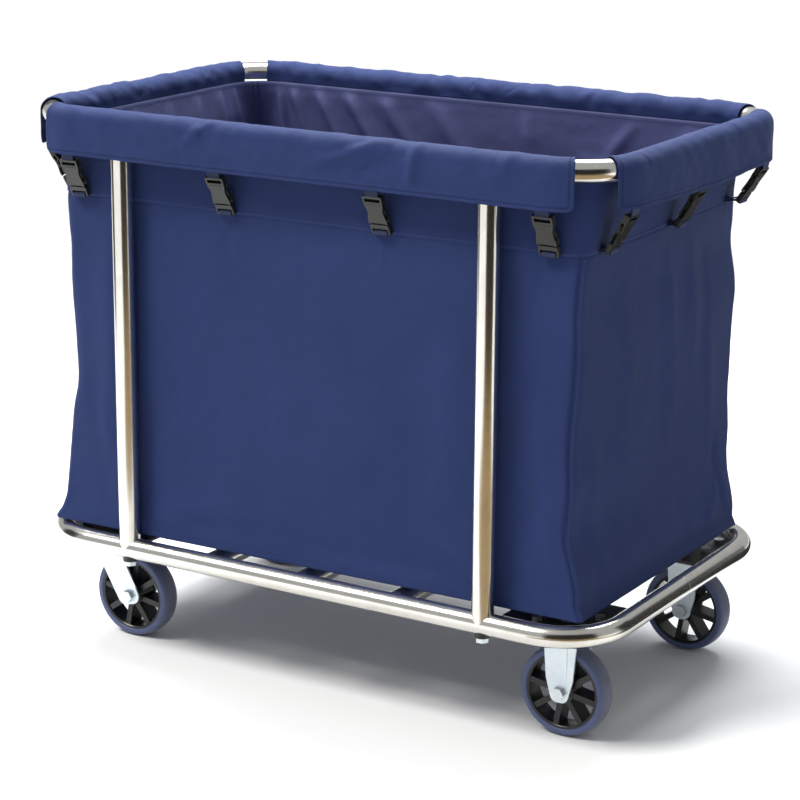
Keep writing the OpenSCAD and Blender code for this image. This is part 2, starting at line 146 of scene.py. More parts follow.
def grid_faces(rows, cols, closed=False, start=0):
    """Quads of a grid of vertices; closed joins its last column to its first."""
    span = cols if closed else cols - 1
    return [(start + r * cols + c, start + r * cols + (c + 1) % cols,
             start + (r + 1) * cols + (c + 1) % cols, start + (r + 1) * cols + c)
            for r in range(rows - 1) for c in range(span)]


def solidify(obj, thickness, offset=-1.0):
    m = obj.modifiers.new("thickness", "SOLIDIFY")
    m.thickness, m.offset = thickness, offset


# ---- materials
def tree(name, **inputs):
    """New material, its nodes and its shader, with values set on the shader's own sockets."""
    m = bpy.data.materials.new(name)
    m.use_nodes = True
    nt = m.node_tree
    shader = nt.nodes["Principled BSDF"]
    for key, value in inputs.items():
        shader.inputs[key.replace("_", " ")].default_value = value
    return m, nt, shader


def put(nt, kind, inputs=(), **props):
    """New shader node; an input is a value or another node's output."""
    n = nt.nodes.new("ShaderNode" + kind)
    for key, value in props.items():
        setattr(n, key, value)
    for key, value in dict(inputs).items():
        if hasattr(value, "is_linked"):
            nt.links.new(value, n.inputs[key])
        else:
            n.inputs[key].default_value = value
    return n


def maths(nt, operation, a, b=0.0, c=0.0, clip=False):
    n = put(nt, "Math", {0: a, 1: b, 2: c}, operation=operation, use_clamp=clip)
    return n.outputs[0]


def ramp(nt, value, lo, hi):
    """Black below lo and white above hi."""
    n = put(nt, "ValToRGB", {"Fac": value})
    for element, place, grey in zip(n.color_ramp.elements, (lo, hi), (0, 1)):
        element.position, element.color = place, (grey, grey, grey, 1)
    return n.outputs["Color"]


def blend_colour(nt, fac, a, b):
    n = put(nt, "Mix", data_type="RGBA")
    for key, value in (("Factor", fac), ("A", a), ("B", b)):
        socket = [s for s in n.inputs if s.name == key and s.enabled][0]
        if hasattr(value, "is_linked"):
            nt.links.new(value, socket)
        else:
            socket.default_value = value if key == "Factor" else (*value, 1)
    return [s for s in n.outputs if s.enabled][0]


def place_of(nt):
    return put(nt, "TexCoord").outputs["Object"]


def noise_of(nt, vector, scale, detail=3.0, rough=0.5, distortion=0.0):
    n = put(nt, "TexNoise", {"Vector": vector, "Scale": scale, "Detail": detail,
                             "Roughness": rough, "Distortion": distortion})
    return n.outputs["Fac"]


def streaks(nt, vector, scale):
    """Noise drawn out along the axes whose scale is small."""
    return noise_of(nt, put(nt, "Mapping", {"Vector": vector, "Scale": scale}).outputs[0], 1.0, 2.0)


def bump(nt, height, distance, strength=1.0, after=None):
    ins = {"Height": height, "Distance": distance, "Strength": strength}
    if after is not None:
        ins["Normal"] = after
    return put(nt, "Bump", ins).outputs["Normal"]


def fabric(name, colour, light, pitch, rough, sheen, crease, coat=0.0):
    """Woven cloth: threads of the given pitch, uneven dye, painted shade in the weave's hollows, fine
    creases.
    """
    m, nt, shader = tree(name, Specular_IOR_Level=0.13, Sheen_Weight=sheen, Sheen_Roughness=0.35,
                         Sheen_Tint=(0.42, 0.60, 1.0, 1), Coat_Weight=coat, Coat_Roughness=0.4)
    flat = put(nt, "Attribute", attribute_name="cloth").outputs["Vector"]
    xyz = put(nt, "SeparateXYZ", {"Vector": flat})
    k = 2 * math.pi / pitch
    warp = maths(nt, "SINE", maths(nt, "MULTIPLY", xyz.outputs["X"], k))
    weft = maths(nt, "SINE", maths(nt, "MULTIPLY", xyz.outputs["Y"], k))
    weave = maths(nt, "MULTIPLY_ADD", maths(nt, "MULTIPLY", warp, weft), 0.5, 0.5)
    threads = streaks(nt, flat, (14.0, 700.0, 1.0))
    place = place_of(nt)
    broad = noise_of(nt, place, 5.0, 4.0, 0.55)
    small = noise_of(nt, place, 60.0, 5.0, 0.6, 0.4)
    tone = blend_colour(nt, maths(nt, "MULTIPLY_ADD", broad, 0.9, -0.1, True), colour, light)
    # the hollows between the threads are painted darker: painted shade in the weave, where its bump is low
    dark = [c * 0.72 for c in colour]
    tone = blend_colour(nt, maths(nt, "MULTIPLY", maths(nt, "SUBTRACT", 1.0, weave), 0.34), tone, dark)
    tone = blend_colour(nt, maths(nt, "MULTIPLY", threads, 0.20), tone, [c * 1.5 for c in light])
    nt.links.new(tone, shader.inputs["Base Color"])
    nt.links.new(maths(nt, "MULTIPLY_ADD", small, 0.22, rough - 0.11), shader.inputs["Roughness"])
    n = bump(nt, broad, 0.006, crease)
    n = bump(nt, small, 0.0011, crease, n)
    n = bump(nt, maths(nt, "MULTIPLY_ADD", threads, 0.5, weave), 0.00026, 0.9, n)
    nt.links.new(n, shader.inputs["Normal"])
    return m


def steel(name, colour, dull, rough, spread, scratch=0.0002, tint=None, metal=1.0):
    """Bare metal with smears, fine scratches and an uneven shine."""
    m, nt, shader = tree(name, Metallic=metal)
    place = place_of(nt)
    smear = noise_of(nt, place, 22.0, 4.0, 0.6, 0.8)
    fine = streaks(nt, place, (900.0, 900.0, 60.0))
    tone = blend_colour(nt, ramp(nt, smear, 0.35, 0.75), colour, dull)
    if tint:
        tone = blend_colour(nt, maths(nt, "MULTIPLY", noise_of(nt, place, 90.0, 3.0), 0.5), tone, tint)
    nt.links.new(tone, shader.inputs["Base Color"])
    uneven = maths(nt, "MULTIPLY_ADD", smear, spread, rough - spread / 2)
    nt.links.new(maths(nt, "MULTIPLY_ADD", fine, spread * 0.4, uneven), shader.inputs["Roughness"])
    nt.links.new(bump(nt, fine, scratch * 0.25, 0.25), shader.inputs["Normal"])
    return m


def moulded(name, colour, worn, rough, grain, grain_depth, spec=0.5):
    """Moulded plastic or coating: fine grain, paler scuffs, uneven shine."""
    m, nt, shader = tree(name, Specular_IOR_Level=spec)
    place = place_of(nt)
    scuff = noise_of(nt, place, 45.0, 6.0, 0.7, 1.2)
    tone = blend_colour(nt, ramp(nt, scuff, 0.45, 0.8), colour, worn)
    nt.links.new(tone, shader.inputs["Base Color"])
    nt.links.new(maths(nt, "MULTIPLY_ADD", scuff, 0.25, rough - 0.12), shader.inputs["Roughness"])
    nt.links.new(bump(nt, noise_of(nt, place, grain, 2.0), grain_depth, 0.6), shader.inputs["Normal"])
    return m


def rubber(name):
    """Tyre: blue grey side bands and a greyer, scuffed tread."""
    m, nt, shader = tree(name, Specular_IOR_Level=0.42, Sheen_Weight=0.08)
    place = place_of(nt)
    xyz = put(nt, "SeparateXYZ", {"Vector": place})
    wheel_lo, wheel_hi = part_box("tyre_back_right")
    middle = (wheel_lo.y + wheel_hi.y) / 2
    off = maths(nt, "ABSOLUTE", maths(nt, "SUBTRACT", maths(nt, "ABSOLUTE", xyz.outputs["Y"]), middle))
    side = ramp(nt, maths(nt, "MULTIPLY", off, 1 / (wheel_hi.y - middle)), 0.74, 0.93)
    dirt = noise_of(nt, place, 120.0, 6.0, 0.7)
    tread = blend_colour(nt, dirt, (0.060, 0.070, 0.120), (0.120, 0.130, 0.185))
    band = blend_colour(nt, dirt, (0.052, 0.070, 0.165), (0.084, 0.106, 0.215))
    nt.links.new(blend_colour(nt, side, tread, band), shader.inputs["Base Color"])
    nt.links.new(maths(nt, "MULTIPLY_ADD", dirt, 0.2, 0.42), shader.inputs["Roughness"])
    nt.links.new(bump(nt, noise_of(nt, place, 700.0, 3.0), 0.0003, 0.5), shader.inputs["Normal"])
    return m


NAVY = fabric("navy_cloth", (0.0162, 0.0286, 0.102), (0.0250, 0.0420, 0.140), 0.9 * MM, 0.62, 0.05, 0.6)
LINING = fabric("coated_lining", (0.040, 0.046, 0.130), (0.066, 0.074, 0.190), 0.7 * MM, 0.50, 0.06,
                0.9, 0.10)
WEBBING = fabric("webbing_weave", (0.020, 0.026, 0.060), (0.040, 0.050, 0.100), 1.6 * MM, 0.7, 0.2, 0.2)
THREAD = fabric("sewing_thread", (0.055, 0.080, 0.200), (0.10, 0.13, 0.28), 0.4 * MM, 0.6, 0.3, 0.2)
# near black thread for the flap stitching: painted shade, standing for the shadow in the stitch holes rather
# than the thread's own colour
SHADED_STITCH_THREAD = fabric("stitch_thread_painted_shade", (0.006, 0.009, 0.030), (0.012, 0.018, 0.055), 0.4 * MM, 0.6, 0.1, 0.2)
POLISHED = steel("polished_tube", (0.82, 0.805, 0.75), (0.70, 0.68, 0.62), 0.17, 0.08)
PLAIN = steel("turned_steel", (0.60, 0.60, 0.60), (0.45, 0.45, 0.44), 0.30, 0.14)
ZINC = steel("zinc_sheet", (0.78, 0.86, 0.90), (0.66, 0.75, 0.82), 0.34, 0.16, 0.0008,
             (0.84, 0.93, 0.98), 0.72)
ZINC_BOLT = steel("zinc_bolt", (0.72, 0.80, 0.85), (0.55, 0.60, 0.66), 0.28, 0.14, 0.0004, (0.80, 0.84, 0.80))
BALL = steel("bearing_ball", (0.75, 0.75, 0.75), (0.60, 0.60, 0.60), 0.12, 0.06)
COAT = moulded("black_coat", (0.012, 0.013, 0.017), (0.030, 0.031, 0.036), 0.42, 900.0, 0.0003)
NYLON = moulded("black_nylon_hub", (0.005, 0.005, 0.006), (0.014, 0.014, 0.017), 0.30, 1400.0, 0.00012)
BUCKLE = moulded("buckle_plastic", (0.011, 0.013, 0.010), (0.028, 0.032, 0.024), 0.38, 1600.0, 0.00012)
TYRE = rubber("grey_blue_tyre")

CAD_LOOKS = {
    "polished_steel": POLISHED, "plain_steel": PLAIN, "black_steel": COAT, "zinc_plate": ZINC,
    "zinc_fastener": ZINC_BOLT, "ball_steel": BALL, "black_nylon": NYLON, "grey_blue_tyre": TYRE,
    "navy_fabric": NAVY, "buckle_plastic": BUCKLE, "webbing": WEBBING,
}
for part in frame["record"]["subparts"]:
    obj = NODES[part["node"]]
    if not obj.material_slots:
        obj.data.materials.append(None)
    for place in obj.material_slots:
        place.material = CAD_LOOKS[part["material_slot"]]


# ---- camera, floor, light
def way(azimuth, elevation=0.0):
    """Direction from the middle towards a viewer, with angles as the views count them."""
    a, e = math.radians(azimuth), math.radians(elevation)
    return Vector((math.sin(a) * math.cos(e), -math.cos(a) * math.cos(e), math.sin(e)))


def camera(azimuth, elevation, roll, distance, target, lens):
    """Camera at a distance from the target, which it looks at, rolled by some degrees."""
    back, right, r = way(azimuth, elevation), way(azimuth + 90), math.radians(roll)
    up = back.cross(right)
    across = right * math.cos(r) + up * math.sin(r)
    above = up * math.cos(r) - right * math.sin(r)
    data = bpy.data.cameras.new("camera")
    data.lens, data.sensor_width = lens, 36.0
    data.clip_start, data.clip_end = 0.05, 100.0
    obj = bpy.data.objects.new("camera", data)
    spot = Vector(target) + back * distance
    axes = Matrix((across, above, back)).transposed().to_4x4()
    obj.matrix_world = Matrix.Translation(spot) @ axes
    bpy.context.scene.collection.objects.link(obj)
    bpy.context.scene.camera = obj


VIEW_TURN = 31.2
camera(VIEW_TURN, 15.3, 0.4, 3.6, (-0.0037, 0.001, 0.36), 113.3)


def staged_quad(name, corners, material, hidden):
    """Four cornered sheet of the studio; a hidden one shows only in reflections."""
    mesh = bpy.data.meshes.new(name)
    mesh.from_pydata([tuple(v) for v in corners], [], [(0, 1, 2, 3)])
    mesh.materials.append(material)
    obj = bpy.data.objects.new(name, mesh)
    bpy.context.scene.collection.objects.link(obj)
    if hidden:
        obj.visible_camera = obj.visible_diffuse = obj.visible_shadow = False


def card(name, centre, facing, width, height, material, hidden=False):
    """Flat sheet of the studio, turned to face a point."""
    z = (Vector(facing) - Vector(centre)).normalized()
    x = Vector((0, 0, 1)).cross(z)
    x = x.normalized() if x.length > 0.01 else Vector((1, 0, 0))
    y = z.cross(x)
    corners = [Vector(centre) + x * (width / 2 * i) + y * (height / 2 * j)
               for i, j in ((-1, -1), (1, -1), (1, 1), (-1, 1))]
    staged_quad(name, corners, material, hidden)


def studio_paint(name, colour, rough):
    m, nt, shader = tree(name, Roughness=rough, Specular_IOR_Level=0.2)
    shade = noise_of(nt, place_of(nt), 1.5, 2.0)
    nt.links.new(blend_colour(nt, shade, colour, [c * 0.985 for c in colour]), shader.inputs["Base Color"])
    return m


FLOOR_SIZE = 60
card("floor", (0, 0, 0), (0, 0, 1), FLOOR_SIZE, FLOOR_SIZE,
     studio_paint("floor_paint", (0.82, 0.82, 0.82), 0.85))

world = bpy.data.worlds.new("studio")
bpy.context.scene.world = world
world.use_nodes = True
world.node_tree.nodes["Background"].inputs["Color"].default_value = (0.97, 0.985, 1.0, 1)
# the backdrop beyond the floor looks as pale as the floor, and lights the object less than that
FILL, BACKDROP = 0.44, 0.92
seen = put(world.node_tree, "LightPath").outputs["Is Camera Ray"]
strength = maths(world.node_tree, "MULTIPLY_ADD", seen, BACKDROP - FILL, FILL)
world.node_tree.links.new(strength, world.node_tree.nodes["Background"].inputs["Strength"])
bpy.context.scene.view_settings.view_transform = "Standard"


def light(name, kind, place, turn, power, colour, **size):
    """Light of a kind at a place; size holds the settings of its own kind."""
    data = bpy.data.lights.new(name, kind)
    data.energy, data.color = power, colour
    for key, value in size.items():
        setattr(data, key, value)
    obj = bpy.data.objects.new(name, data)
    obj.location = place
    obj.rotation_mode = "QUATERNION"
    obj.rotation_quaternion = turn
    bpy.context.scene.collection.objects.link(obj)


light("key", "SUN", (0, 0, 0), way(-42, 54).to_track_quat("Z", "Y"), 3.25, (1.0, 0.99, 0.97),
      angle=math.radians(20))
top_place = Vector((-0.5, 0.75, 2.3))
light("top", "AREA", top_place, (Vector((0, 0, 0.7)) - top_place).to_track_quat("-Z", "Y"), 115,
      (0.95, 0.98, 1.0), shape="RECTANGLE", size=2.6, size_y=1.2)

# cards round the trolley and on the floor, there for the bands that polished tubes mirror
BLACK_CARD = studio_paint("black_card", (0.010, 0.009, 0.009), 0.9)
GREY_CARD = studio_paint("grey_card", (0.22, 0.22, 0.21), 0.9)
TAN_CARD = studio_paint("tan_card", (0.24, 0.17, 0.085), 0.9)


def mirror_card(name, swing, distance, high, width, material):
    """Standing card, swung round the object from the camera."""
    middle = Vector((0, 0, high / 2))
    card(name, way(VIEW_TURN + swing) * distance + middle, middle, width, high, material, hidden=True)


def floor_card(name, swing, near, far, width, material):
    """The same, lying on the floor from near to far."""
    out, across = way(VIEW_TURN + swing), way(VIEW_TURN + swing + 90)
    corners = [out * d + across * width / 2 * i + Vector((0, 0, 2 * MM))
               for d, i in ((near, -1), (near, 1), (far, 1), (far, -1))]
    staged_quad(name, corners, material, True)


mirror_card("dark_panel", 12, 2.1, 1.7, 2.9, BLACK_CARD)
floor_card("tan_floor", 12, 0.75, 2.1, 2.2, TAN_CARD)
mirror_card("dark_panel_left", -98, 2.4, 1.6, 1.2, BLACK_CARD)
mirror_card("dark_panel_right", 98, 2.4, 1.6, 1.4, BLACK_CARD)
floor_card("dark_floor_right", 112, 0.6, 2.4, 1.9, BLACK_CARD)
mirror_card("dark_panel_back", 196, 2.4, 1.4, 1.5, BLACK_CARD)
floor_card("grey_floor_back", 196, 0.75, 2.4, 1.5, GREY_CARD)

# ---- flaps over the rail
def rim_point(side, s, d, h):
    """Place on a side: s along the rail from its middle, d out of the rail's centre, h above it."""
    turn, off, straight = SIDES[side]
    angle = np.sign(s) * np.maximum(0.0, np.abs(s) - straight) / BEND
    r = BEND + d
    x = np.clip(s, -straight, straight) + r * np.sin(angle)
    return turned(x, BEND - off - r * np.cos(angle), RIM_Z + h, turn)


FLAP_R = TUBE_R + 1.7 * MM
INNER_DROP = 13 * MM
OUTER_DROP = RIM_Z - HEM_Z
FLAP_W = INNER_DROP + math.pi * FLAP_R + OUTER_DROP
HEM_W = 9 * MM
STITCH_IN = 5 * MM
FLAP_CORNER = 9 * MM


def flap_creases(half, seed):
    """Short creases across the roll, and longer ones down the hanging face."""
    rng = random.Random(seed)
    out = []
    count = int(half * 2 / 0.052)
    for i in range(count):
        s = -half + (i + rng.uniform(0.2, 0.8)) * 2 * half / count
        lean = rng.uniform(-0.03, 0.03)
        top = rng.uniform(0.012, 0.028)
        out.append((s, top, s + lean, top + rng.uniform(0.022, 0.045),
                    rng.uniform(0.004, 0.010), rng.uniform(-1.9, 1.5) * MM))
    for _ in range(int(half * 2 / 0.024)):
        s = rng.uniform(-half, half)
        top = rng.uniform(0.004, 0.046)
        out.append((s, top, s + rng.uniform(-0.022, 0.022), top + rng.uniform(0.012, 0.03),
                    rng.uniform(0.0024, 0.0045), rng.uniform(-1.5, 0.9) * MM))
    for _ in range(int(half * 2 / 0.13)):
        s = -half + rng.uniform(0.05, 0.95) * 2 * half
        out.append((s, 0.036, s + rng.uniform(-0.05, 0.05), 0.036 + rng.uniform(0.03, 0.07),
                    rng.uniform(0.010, 0.022), rng.uniform(-1.6, 2.2) * MM))
    return out


FLAPS = {
    "front": dict(half=HALF_X - BEND + BEND * math.radians(27), seed=3, puff=1.1, hem=0.0, calm=0.7),
    "right": dict(half=HALF_Y - BEND + BEND * math.radians(30), seed=8, puff=1.1, hem=5.0, calm=0.55),
    "back": dict(half=HALF_X - BEND + BEND * math.radians(28), seed=5, puff=2.0, hem=1.0, calm=0.3),
    "left": dict(half=HALF_Y - BEND + BEND * math.radians(30), seed=9, puff=2.1, hem=2.0, calm=0.3),
}
for spec in FLAPS.values():
    spec["creases"] = flap_creases(spec["half"], spec["seed"])
# the long creases that show on the front flap's face
FLAPS["front"]["creases"] += [
    (0.155, 0.040, 0.030, 0.090, 0.011, 5.0 * MM), (0.192, 0.036, 0.180, 0.106, 0.009, 4.6 * MM),
    (0.120, 0.050, 0.055, 0.072, 0.006, -3.2 * MM), (0.165, 0.066, 0.100, 0.098, 0.008, -2.8 * MM),
    (-0.150, 0.042, -0.128, 0.078, 0.007, -3.6 * MM), (-0.122, 0.040, -0.170, 0.082, 0.008, 3.8 * MM),
    (0.330, 0.040, 0.290, 0.085, 0.014, 2.6 * MM), (-0.330, 0.050, -0.290, 0.100, 0.014, 2.2 * MM),
]


def flap_length(spec, s):
    """Cut width of the flap at s: the lower corners are rounded."""
    end = spec["half"] - np.abs(s)
    e = np.maximum(0.0, FLAP_CORNER - end)
    cut = FLAP_CORNER - np.sqrt(np.maximum(0.0, FLAP_CORNER**2 - e**2))
    return FLAP_W + spec["hem"] * MM * smooth(end, 0.0, 0.2) - cut


def flap_place(side, s, w, lift=0.0):
    """Place of the flap's cloth at s along and w across, counted from the inner seam."""
    spec = FLAPS[side]
    s, w = np.broadcast_arrays(np.asarray(s, float), np.asarray(w, float))
    seed, zero = spec["seed"], np.zeros(s.shape)
    bulge = 1.2 * MM * (0.5 + 0.5 * wander(s, zero, seed, 0.07))
    slant = wander((s + w) * 0.5, (s - w) * 1.5, seed + 70, 0.034)
    puffs = 0.25 + 0.7 * wander(s, w, seed + 20, 0.045) + 0.8 * wander(s, w, seed + 30, 0.018) + slant
    bulge = bulge + spec["puff"] * MM * puffs
    bulge += sum(fold(s, w, c) for c in spec["creases"])
    # the cloth lies tighter along the top of the rail
    bulge *= smooth(w, 0.0, 0.016) * (1 - spec["calm"] * bell(w - INNER_DROP - math.pi / 2 * FLAP_R, 14 * MM))
    drop = w - INNER_DROP - math.pi * FLAP_R
    hang = smooth(drop, -0.012, 0.03)
    bulge += hang * MM * (0.9 + 1.0 * np.sin(s * 14 + seed) + 2.0 * wander(s, zero, seed + 50, 0.11))
    end = spec["half"] - np.abs(s)
    bulge *= 0.35 + 0.65 * smooth(end, 0.0, 0.035)
    rim = np.minimum(flap_length(spec, s) - w, end)
    hemmed = 1 - smooth(rim, HEM_W - 0.6 * MM, HEM_W + 0.6 * MM) - bell(rim - STITCH_IN, 1.3 * MM)
    bulge += np.where(w > INNER_DROP, 0.55 * MM * hemmed, 0.0)
    r = FLAP_R + np.maximum(bulge, -0.5 * MM) + lift
    a = math.pi - np.clip((w - INNER_DROP) / FLAP_R, 0.0, math.pi)
    h = r * np.sin(a) + np.minimum(0.0, w - INNER_DROP) - np.maximum(0.0, drop)
    return rim_point(side, s, r * np.cos(a) + 0.4 * MM * smooth(drop, 0.0, 0.01), h)


def spread(lo, hi, step, fine, edge):
    """Positions from lo to hi, closer together near both ends."""
    n = max(2, round((hi - lo - 2 * edge) / step))
    m = max(2, round(edge / fine))
    left = [lo + edge * i / m for i in range(m)]
    mid = [lo + edge + (hi - lo - 2 * edge) * i / n for i in range(n)]
    right = [hi - edge + edge * i / m for i in range(m + 1)]
    return left + mid + right


def build_flap(side):
    """Cloth of one flap, with closer rows along its hem."""
    spec = FLAPS[side]
    columns = np.array(spread(-spec["half"], spec["half"], 2.3 * MM, 1.3 * MM, 18 * MM))
    full = float(flap_length(spec, 0.0))
    steps = [1.9 * MM * i for i in range(int((full - 16 * MM) / (1.9 * MM)))]
    steps += [full - 16 * MM + 1.1 * MM * i for i in range(15)]
    s, t = np.meshgrid(columns, np.array(steps) / steps[-1])
    w = t * flap_length(spec, s)
    obj = add_mesh("flap_" + side + "_cloth", flap_place(side, s, w).reshape(-1, 3),
                   grid_faces(*s.shape), NAVY, slot="navy_fabric", cloth=pairs(s, w))
    solidify(obj, 1.3 * MM, 0.0)
    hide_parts("flap_" + side)
    return obj


# a stitch is a bead: how far along it each ring is, and how thick it is there
BEAD = [(-0.5, 0.25), (-0.3, 0.85), (0.0, 1.0), (0.3, 0.85), (0.5, 0.25)]
BEAD_SIDES = 6


def stitches(name, run, thread=THREAD, gap=4.6 * MM, length=3.0 * MM, radius=0.45 * MM):
    """Row of raised stitches along runs of points; each is a small rounded bead."""
    verts, faces, cloth = [], [], []
    for points in run:
        travelled, target = 0.0, gap / 2
        for (p, n), (q, _) in zip(points, points[1:]):
            seg = (q - p).length
            while seg > 1e-9 and travelled + seg >= target:
                at = p.lerp(q, (target - travelled) / seg)
                along = (q - p).normalized()
                across = along.cross(n).normalized()
                base = len(verts)
                for f, thick in BEAD:
                    for j in range(BEAD_SIDES):
                        a, r = math.pi * 2 * j / BEAD_SIDES, radius * thick
                        verts.append(at + along * (length * f) + across * (r * math.cos(a))
                                     + n * (r * (math.sin(a) * 0.8)))
                        cloth.append((travelled + length * f, radius * a))
                faces += grid_faces(len(BEAD), BEAD_SIDES, closed=True, start=base)
                faces += [tuple(range(base + BEAD_SIDES - 1, base - 1, -1)),
                          tuple(range(len(verts) - BEAD_SIDES, len(verts)))]
                target += gap
            travelled += seg
    return add_mesh(name, verts, faces, thread, slot="navy_fabric", cloth=cloth)


def run_of(place, a, b, reach_a, reach_b, flip=1.0):
    """Points and outward normals of a surface place(a, b) along a path."""
    da = place(a + reach_a, b) - place(a - reach_a, b)
    db = place(a, b + reach_b) - place(a, b - reach_b)
    n = np.cross(da, db) * flip
    n /= np.linalg.norm(n, axis=1)[:, None]
    return [(Vector(p), Vector(m)) for p, m in zip(place(a, b), n)]


def flap_stitches(side):
    """Stitches round the flap's hem and along its inner seam."""
    spec = FLAPS[side]
    half, inset = spec["half"], STITCH_IN
    end, r = half - inset, FLAP_CORNER - inset
    lower = float(flap_length(spec, 0.0)) - inset
    first = INNER_DROP + 4 * MM
    down = [(end, first + i * (lower - r - first) / 40) for i in range(41)]
    turn = [math.pi / 2 * i / 8 for i in range(1, 9)]
    level = float(flap_length(spec, end - r)) - inset - r
    corner = [(end - r + r * math.cos(a), level + r * math.sin(a)) for a in turn]
    along = [(end - r) * (1 - i / 200) for i in range(1, 400)]
    across = [(s, float(flap_length(spec, s)) - inset) for s in along]
    cells = np.array(down + corner + across + [(-s, w) for s, w in reversed(down + corner)])
    seam = np.array([((half - 3 * MM) * (1 - i / 150), 3.0 * MM) for i in range(301)])

    def place(s, w):
        return flap_place(side, s, w, 0.75 * MM)

    runs = [run_of(place, p[:, 0], p[:, 1], 1.5 * MM, 1.5 * MM, -1.0) for p in (cells, seam)]
    # the flap stitches use the thread painted near black: painted shade of the stitch holes
    return stitches("flap_" + side + "_stitching", runs, SHADED_STITCH_THREAD, radius=0.55 * MM)


flap_cloths = {side: build_flap(side) for side in ORDER}
flap_threads = {side: flap_stitches(side) for side in ORDER}

# ---- bag
SEAM_Z = 660 * MM
TOP_Z = RIM_Z - INNER_DROP + 1.5 * MM
BOTTOM_Z = 182 * MM
LIP_X = HALF_X - FLAP_R - 0.9 * MM
LIP_Y = HALF_Y - FLAP_R - 0.9 * MM

# half length, half width and corner radius of the bag by height
LENGTH_BY_Z = [(0.182, BAG_X + 0.004), (0.20, BAG_X - 0.002), (0.30, BAG_X - 0.010), (0.44, BAG_X - 0.017),
               (0.58, BAG_X - 0.012), (0.66, BAG_X - 0.005), (0.70, BAG_X + 0.002), (TOP_Z, LIP_X)]
WIDTH_BY_Z = [(0.182, BAG_Y - 0.002), (0.22, BAG_Y - 0.003), (0.44, BAG_Y - 0.002),
              (0.66, BAG_Y), (0.70, BAG_Y), (TOP_Z, LIP_Y)]
RADIUS_BY_Z = [(0.182, 0.007), (0.24, 0.012), (0.40, 0.020), (0.60, 0.016),
               (0.66, 0.022), (0.70, 0.036), (TOP_Z, BEND - (HALF_X - LIP_X))]

# how each corner moves in length and width, by height: the empty bag sags between its ends
CORNER_MOVES = {
    (-1, -1): [
        (0.182, (-0.009, -0.010)), (0.22, (-0.003, -0.004)), (0.28, (-0.005, 0.0)),
        (0.33, (-0.002, 0.0)), (0.39, (0.004, 0.001)), (0.45, (0.001, 0.001)),
        (0.50, (0.001, 0.001)), (0.60, (0.006, 0.0)), (0.70, (0.005, 0.0)),
        (0.75, (0.0, 0.0)),
    ],
    (1, -1): [
        (0.182, (-0.001, 0.001)), (0.22, (-0.003, 0.003)), (0.29, (-0.013, 0.004)),
        (0.37, (-0.003, 0.002)), (0.50, (0.004, 0)), (0.64, (0.0, 0)),
        (0.70, (0, 0)),
    ],
    (1, 1): [
        (0.182, (-0.001, -0.006)), (0.215, (0.003, -0.010)), (0.28, (-0.001, -0.012)),
        (0.36, (0.001, -0.010)), (0.43, (0.005, -0.009)), (0.52, (0.004, -0.008)),
        (0.62, (-0.010, -0.008)), (0.70, (-0.012, -0.008)), (0.75, (0.0, 0.0)),
    ],
    (-1, 1): [
        (0.182, (-0.004, 0.004)), (0.26, (0.004, 0.0)), (0.44, (0.014, -0.006)),
        (0.60, (0.006, -0.003)), (0.70, (0, 0)),
    ],
}

# creases on the outside: along, up, along, up, width, height
OUTER_CREASES = {
    "front": [
        (-0.345, 0.60, -0.352, 0.24, 0.020, 3.5), (0.345, 0.64, 0.372, 0.26, 0.030, -4.0),
        (0.372, 0.50, 0.395, 0.22, 0.012, 3.0), (-0.20, 0.66, -0.235, 0.34, 0.040, -3.0),
        (0.05, 0.62, 0.09, 0.28, 0.055, 3.5), (0.20, 0.55, 0.17, 0.22, 0.030, -2.5),
        (0.33, 0.19, 0.18, 0.27, 0.016, 2.2), (-0.30, 0.19, -0.12, 0.25, 0.018, 2.0),
        (-0.385, 0.40, -0.33, 0.20, 0.012, -2.2), (-0.126, 0.655, -0.13, 0.60, 0.006, -1.6),
        (0.122, 0.655, 0.124, 0.61, 0.005, 1.8), (0.365, 0.655, 0.35, 0.58, 0.006, -1.5),
    ],
    "right": [
        (-0.12, 0.64, -0.10, 0.38, 0.022, 1.6), (-0.02, 0.63, 0.0, 0.34, 0.017, -1.5),
        (0.015, 0.62, 0.035, 0.38, 0.013, 1.8), (0.09, 0.64, 0.10, 0.42, 0.018, 2.0),
        (0.135, 0.62, 0.13, 0.46, 0.015, -1.6), (0.155, 0.48, 0.175, 0.30, 0.015, 2.8),
        (0.185, 0.33, 0.215, 0.20, 0.011, -4.0), (0.20, 0.26, 0.15, 0.21, 0.011, 3.0),
        (-0.20, 0.42, -0.17, 0.24, 0.018, 3.0), (-0.225, 0.34, -0.18, 0.20, 0.013, -2.6),
        (-0.05, 0.30, 0.01, 0.20, 0.022, 1.6), (0.05, 0.28, 0.10, 0.20, 0.018, -1.5),
    ],
    "back": [
        (-0.34, 0.62, -0.36, 0.26, 0.024, -3.6), (-0.18, 0.64, -0.15, 0.30, 0.040, 3.2),
        (0.02, 0.64, -0.02, 0.26, 0.045, -3.2), (0.17, 0.60, 0.20, 0.25, 0.035, 3.6),
        (0.33, 0.64, 0.35, 0.28, 0.022, -3.2), (-0.30, 0.20, -0.16, 0.27, 0.018, 2.4),
        (0.28, 0.20, 0.38, 0.30, 0.016, 2.8), (-0.126, 0.655, -0.13, 0.58, 0.006, 1.8),
        (0.368, 0.655, 0.37, 0.6, 0.006, -1.6),
    ],
    "left": [
        (-0.14, 0.66, -0.13, 0.36, 0.018, -3.0), (-0.05, 0.65, -0.07, 0.34, 0.014, 3.0),
        (0.04, 0.66, 0.05, 0.38, 0.016, -2.6), (0.12, 0.65, 0.10, 0.32, 0.016, 3.4),
        (0.19, 0.40, 0.17, 0.22, 0.014, -3.6), (-0.19, 0.38, -0.16, 0.22, 0.014, 3.2),
    ],
}

